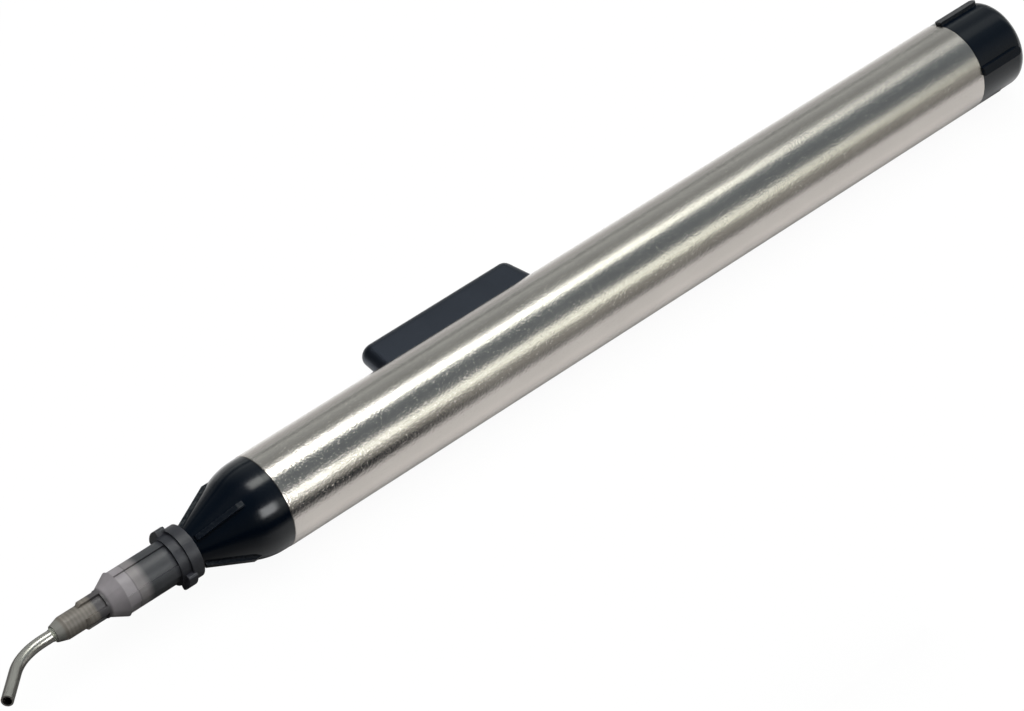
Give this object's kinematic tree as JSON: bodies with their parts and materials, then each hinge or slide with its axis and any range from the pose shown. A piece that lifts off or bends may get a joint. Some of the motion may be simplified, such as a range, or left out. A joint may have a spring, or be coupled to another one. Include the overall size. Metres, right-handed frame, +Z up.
{
  "type": "vacuum pick up pen",
  "caption": "Hand-held vacuum pick up pen: steel tube barrel, side button that squeezes a hose, finned black nose and a bent steel needle tip on a Luer hub.",
  "frame": {"origin": "middle of the tip face of the nose's male Luer taper, on the axis of the pen", "axes": "+X along the axis towards the rear cap, +Z up with the pen lying on its side, +Y towards the side the button is on"},
  "size_m": [0.1612, 0.0169, 0.012],
  "materials": {
    "stainless_tube": "ground and buffed stainless steel tube",
    "gloss_black_abs": "glossy moulded ABS",
    "satin_black_abs": "satin moulded ABS",
    "inner_moulding": "natural moulded ABS, not seen from outside",
    "silicone_hose": "soft extruded silicone",
    "smoky_polypropylene": "smoky translucent moulded polypropylene",
    "stainless_needle": "bright drawn stainless tube",
    "clear_adhesive": "clear cured adhesive"
  },
  "bodies": {
    "handle": {"barrel": "stainless_tube", "nose_cone": "gloss_black_abs", "rear_cap": "gloss_black_abs", "hose_cradle": "inner_moulding", "hose_plug": "inner_moulding", "suction_hose": "silicone_hose"},
    "slider": {"button": "satin_black_abs"},
    "tip": {"needle_hub": "smoky_polypropylene", "needle_tube": "stainless_needle", "needle_adhesive": "clear_adhesive"}
  },
  "joints": [
    {"name": "button_press", "type": "slide", "parent": "handle", "child": "slider", "axis": [0, -1, 0], "range_m": [0, 0.0025], "stiffness_N_per_m": 800, "springref_m": -0.0005, "deforming": ["suction_hose"]},
    {"name": "tip_turn", "type": "hinge", "parent": "handle", "child": "tip", "pos_m": [0, 0, 0], "axis": [1, 0, 0], "continuous": true}
  ]
}
